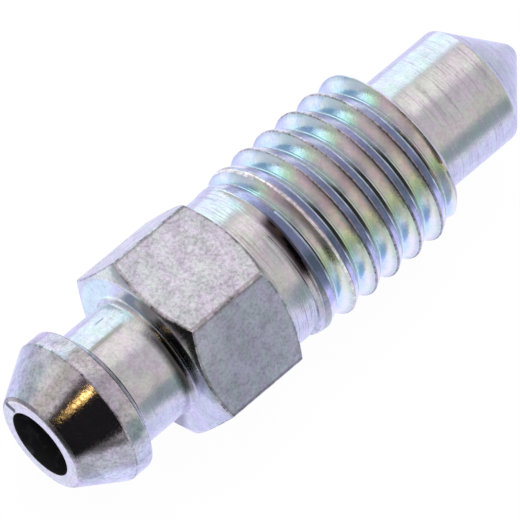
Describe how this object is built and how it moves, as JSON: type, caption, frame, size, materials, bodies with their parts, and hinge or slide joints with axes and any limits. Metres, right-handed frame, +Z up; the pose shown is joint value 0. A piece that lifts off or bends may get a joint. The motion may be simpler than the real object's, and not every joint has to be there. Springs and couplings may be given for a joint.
{
  "type": "bleeder screw",
  "caption": "Hollow hydraulic bleeder screw: hose nipple with a bulb, hexagon, coarse right-hand thread, plain shank and conical seat.",
  "frame": {"origin": "on the surface that the screw lies on, under the middle of its length", "axes": "+X along the screw's own axis from the mouth of the hose nipple to the seat cone, +Z up, square to the flat that it lies on"},
  "size_m": [0.0268, 0.0092, 0.0079],
  "materials": {
    "zinc_plated_steel": "turned steel, zinc plated and clear passivated, with a faint blue, green and pink sheen, matte on the flats, lightly handled"
  },
  "bodies": {
    "root": {"bleeder_screw": "zinc_plated_steel"}
  },
  "joints": []
}
